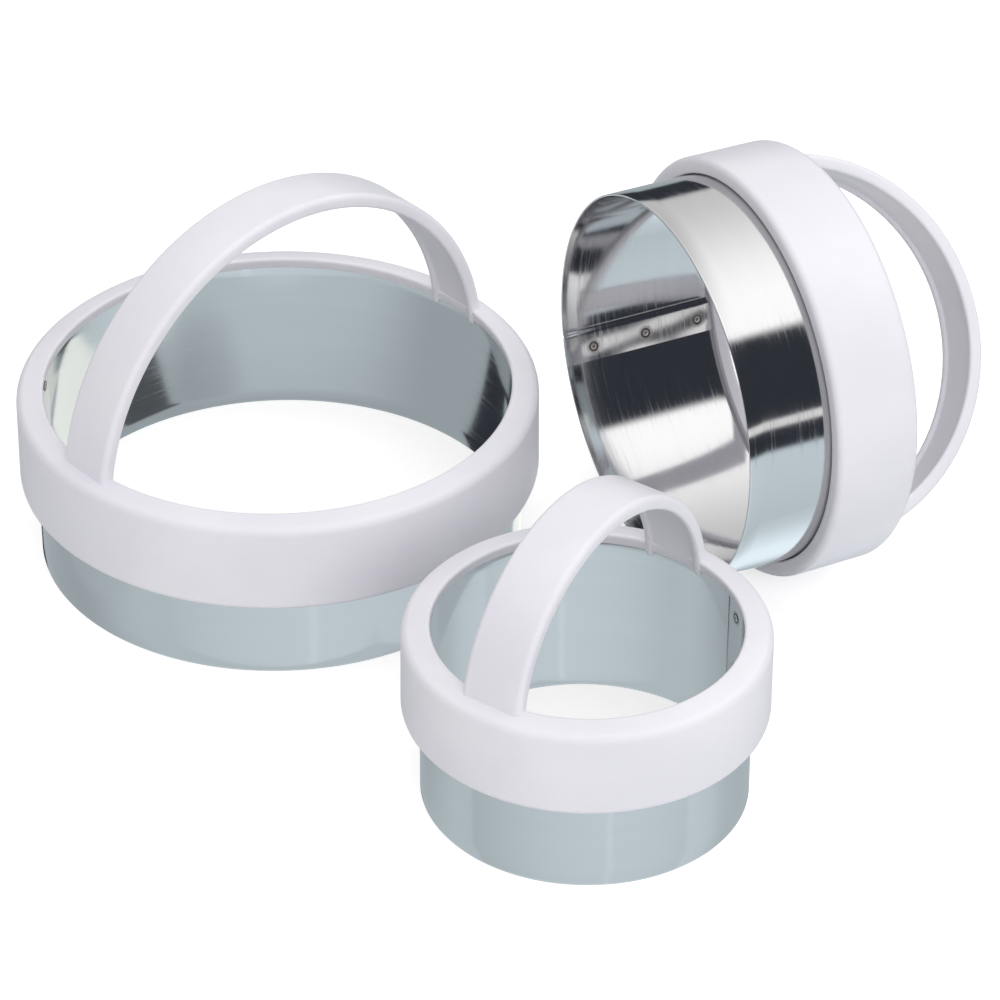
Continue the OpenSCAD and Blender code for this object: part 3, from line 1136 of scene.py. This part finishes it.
table = 1 - recipe.smooth(up - away * TABLE_TILT, *TABLE_EDGE)
bearing = rightward.maths("ARCTAN2", rightward, away)
bright_line = recipe.between(bearing, *LINE_BEARINGS)
pale_card = recipe.between(bearing, *CARD_BEARINGS)
near_table = recipe.smooth(0 - up, *NEAR_DOWN_EDGE) * recipe.smooth(along(NEAR_SIDE), *NEAR_SIDE_EDGE)
table_level = along(TABLE_LIGHT_SIDE) * TABLE_SWING + TABLE_LEVEL
table_level = table_level + (bright_line + pale_card) * BAND_LEVEL + near_table * NEAR_LEVEL
at_the_right = recipe.smooth(along(WALL_FOOT_SIDE), *WALL_FOOT_EDGE)
wall_foot = recipe.between(up, *WALL_FOOT_HEIGHTS) * at_the_right
print("table level", TABLE_LEVEL, "give or take", TABLE_SWING)

# %% The world's two faces
studio = recipe.mix_colour(softbox, BLACK_ROOM, SOFTBOX_COLOUR)
studio = recipe.mix_colour(table, studio, TABLE_COLOUR)
studio = recipe.mix_colour(wall_foot, studio, SOFTBOX_COLOUR)
studio_level = 1 + softbox * (softbox_level - 1) + table * (table_level - 1)
mirror = recipe.node("ShaderNodeLightPath", output="Is Glossy Ray")
diffused = recipe.node("ShaderNodeLightPath", output="Diffuse Depth")
glossy = mirror * (1 - diffused.maths("MINIMUM", diffused, 1))
even_level = seen_directly(recipe) * (1 - ROOM_LIGHT) + ROOM_LIGHT
even = recipe.node("ShaderNodeBackground", None, {"Strength": even_level})
mirrored = recipe.node("ShaderNodeBackground", None, {"Color": studio, "Strength": studio_level})
both = recipe.node("ShaderNodeMixShader", None, {0: glossy, 1: even, 2: mirrored})
recipe.finish(both, "ShaderNodeOutputWorld")
print("world nodes:", len(world.node_tree.nodes))

# %% [markdown]
# ## Cards for the large cutter
#
# A photographer sets cards and flags round bright steel to give it edges. The large band's inside shows
# two black ones and a white one, and the part of the table in the cutters' own shade, which is one wide
# card more. The steel looks down through the table at its own studio, so the cards lie below it, where
# the rays that the band turns down arrive. Only the steel sees them: they are hidden from the camera,
# from soft light and from shadows.

# %% Cards
CARD_DEPTH = 60


def card(name, centre, size, shade, level=1, turn=0, lower=0):
    """A flat card below the table: its middle from the large cutter's axis, its size, colour and level
    of light, its turn in degrees, and how much lower it lies than the others, in millimetres."""
    bpy.ops.mesh.primitive_plane_add(size=MM)
    piece = fresh(name)
    bpy.ops.object.mode_set(mode="OBJECT")
    piece.scale = (*size, 1)
    middle = large.place.translation + Vector((*centre, -CARD_DEPTH - lower)) * MM
    put_in_place(piece, Matrix.Translation(middle) @ Matrix.Rotation(math.radians(turn), 4, "Z"))
    material, recipe = new_material(name)
    strength = level(recipe) if callable(level) else level
    recipe.finish(recipe.node("ShaderNodeEmission", None, {"Color": shade, "Strength": strength}))
    piece.data.materials.append(material)
    piece.visible_camera = False
    piece.visible_diffuse = False
    piece.visible_transmission = False
    piece.visible_shadow = False
    print(name, "at", centre)


# %% The shaded table
SHADED_LEVEL = 0.58
SHADED_RISE = 0.25
SHADED_FROM = (10 * MM, -80 * MM)
SHADE_PLACE = (52, -45)
SHADE_REACH = (12 * MM, 34 * MM)
SHADE_DEPTH = 0.14
UNDER_THE_REST = 0.5


def in_the_shade(recipe):
    """The table near a cutter is in its shade: lighter towards the camera, with one darker place."""
    place = own_place(recipe, large)
    lighter = recipe.smooth(part_of(recipe, place, "Y"), *SHADED_FROM)
    spot = Vector((*SHADE_PLACE, -CARD_DEPTH - UNDER_THE_REST)) * MM
    darker = 1 - recipe.smooth(recipe.distance(place, spot), *SHADE_REACH)
    return SHADED_LEVEL + lighter * SHADED_RISE - darker * SHADE_DEPTH


card("shaded_table", centre=(-20.5, 10), size=(209, 220), shade=TABLE_COLOUR, level=in_the_shade,
     lower=UNDER_THE_REST)

# %% Flags and white card
FLAG_GREY = colour(0.1, 0.11, 0.12)
CARD_WHITE = colour(0.96, 1.0, 0.95)
CARD_GLOW = 1.15

card("black_flag_right", centre=(-50.4, 78.3), size=(40, 62), shade=BLACK_ROOM, turn=19.8)
card("black_flag_left", centre=(71, 4.3), size=(42, 39.5), shade=FLAG_GREY)
card("white_card_left", centre=(58.5, 73), size=(67, 66), shade=CARD_WHITE, level=CARD_GLOW)

# %% [markdown]
# ## The lamps
#
# Two large square lamps give the white mouldings their light and shaded sides: one overhead, and one
# above and behind the camera, both somewhat to the right. A large lamp makes soft shadows, and both are
# weak, so that the white doesn't clip. Steel doesn't show them, because the world's softbox is what it
# mirrors.

# %% Lamps
def soft_lamp(name, place, size, watts):
    """A square lamp that faces the cutters."""
    lamp = bpy.data.objects.new(name, bpy.data.lights.new(name, "AREA"))
    bpy.context.scene.collection.objects.link(lamp)
    lamp.data.shape = "SQUARE"
    lamp.data.size = size
    lamp.data.energy = watts
    lamp.location = place
    lamp.rotation_euler = Vector(place).to_track_quat("Z", "Y").to_euler()
    lamp.visible_glossy = False
    print(name, watts, "W")


soft_lamp("overhead_lamp", place=(0.25, 0.1, 0.9), size=0.9, watts=2.6)
soft_lamp("camera_side_lamp", place=(0.35, -1.05, 0.7), size=0.8, watts=5)
